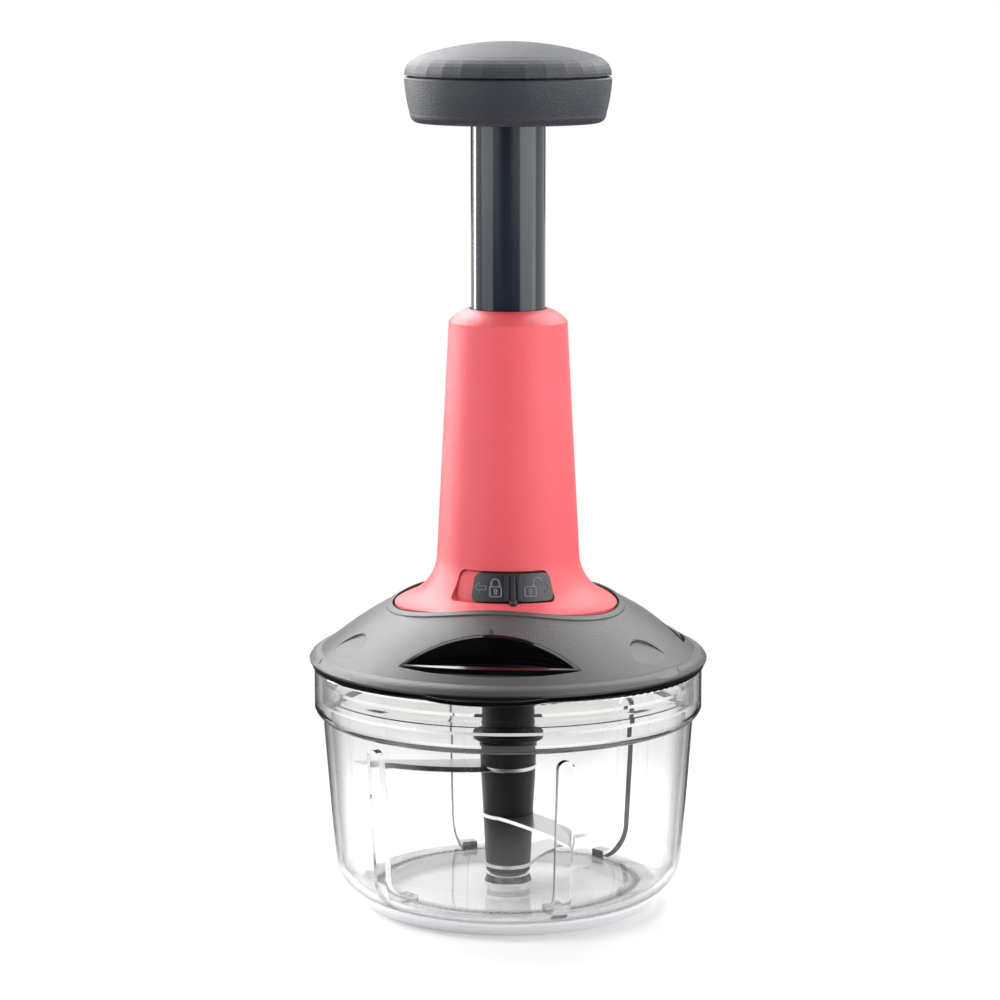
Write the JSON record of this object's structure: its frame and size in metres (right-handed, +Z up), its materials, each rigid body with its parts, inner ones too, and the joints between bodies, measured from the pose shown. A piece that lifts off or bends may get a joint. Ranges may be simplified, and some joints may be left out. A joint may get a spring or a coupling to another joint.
{
  "type": "plunger food chopper",
  "caption": "Hand-pushed food chopper: clear bowl with a spinning blade unit, domed lid with finger notches, tower with a sliding lock, and a sprung plunger with a round knob.",
  "frame": {"origin": "on the table plane under the middle of the bowl, on the axis of bowl, blades, tower and plunger", "axes": "+Z up along the plunger's axis, -Y towards the front with the lock and the lift tab, +X to the right seen from the front"},
  "size_m": [0.1318, 0.1368, 0.2849],
  "materials": {
    "clear_bowl": "clear moulded, polished",
    "white_silicone": "satin moulded silicone",
    "clear_silicone": "translucent moulded silicone",
    "black_nylon": "satin moulded",
    "black_gloss": "polished moulding",
    "charcoal_gloss": "polished moulding",
    "dark_grey_shell": "fine spark-eroded grain",
    "knob_grey": "fine spark-eroded grain",
    "coral_shell": "fine spark-eroded grain",
    "white_acetal": "machined-smooth moulding",
    "blade_steel": "ground stainless",
    "pin_steel": "turned stainless",
    "spring_steel": "drawn wire"
  },
  "bodies": {
    "bowl": {"bowl": "clear_bowl", "base_ring": "white_silicone", "blade_pin": "pin_steel"},
    "blade_unit": {"blade_shaft": "black_nylon", "lower_blade": "blade_steel", "middle_blade": "blade_steel", "upper_blade": "blade_steel", "lower_collar": "black_nylon", "middle_collar": "black_nylon", "upper_collar": "black_nylon", "foot_cap": "black_nylon"},
    "spindle": {"drive_hub": "black_nylon", "hub_clip": "pin_steel", "spindle": "blade_steel", "spring_seat": "white_acetal", "thrust_washer": "pin_steel"},
    "lid": {"lid_cover": "dark_grey_shell", "lid_base": "black_gloss", "lid_gasket": "clear_silicone", "hub_bearing": "white_acetal", "tower": "coral_shell", "guide_sleeve": "white_acetal", "top_bush": "white_acetal", "sleeve_screws": "pin_steel", "tower_screws": "pin_steel", "return_spring": "spring_steel"},
    "plunger": {"plunger_tube": "charcoal_gloss", "drive_nut": "white_acetal", "nut_pins": "pin_steel", "knob_base": "knob_grey", "knob_cap": "knob_grey", "knob_screw": "pin_steel"},
    "lock": {"lock_slider": "dark_grey_shell", "lock_retainer": "white_acetal"}
  },
  "joints": [
    {"name": "lid_lift", "type": "slide", "parent": "bowl", "child": "lid", "axis": [0, 0, 1], "range_m": [0, 0.06]},
    {"name": "plunger_slide", "type": "slide", "parent": "lid", "child": "plunger", "axis": [0, 0, -1], "range_m": [0, 0.057], "stiffness_N_per_m": 250, "springref_m": -0.03, "deforming": ["return_spring"]},
    {"name": "spindle_spin", "type": "hinge", "parent": "lid", "child": "spindle", "pos_m": [0, 0, 0], "axis": [0, 0, 1], "range_deg": [0, 541]},
    {"name": "blade_spin", "type": "hinge", "parent": "bowl", "child": "blade_unit", "pos_m": [0, 0, 0], "axis": [0, 0, 1], "range_deg": [0, 541]},
    {"name": "lock_turn", "type": "hinge", "parent": "lid", "child": "lock", "pos_m": [0, 0, 0], "axis": [0, 0, -1], "range_deg": [0, 15]}
  ],
  "couplings": [
    {"joint": "spindle_spin", "follows": "plunger_slide", "rad_per_m": 165.35},
    {"joint": "blade_spin", "follows": "plunger_slide", "rad_per_m": 165.35}
  ]
}
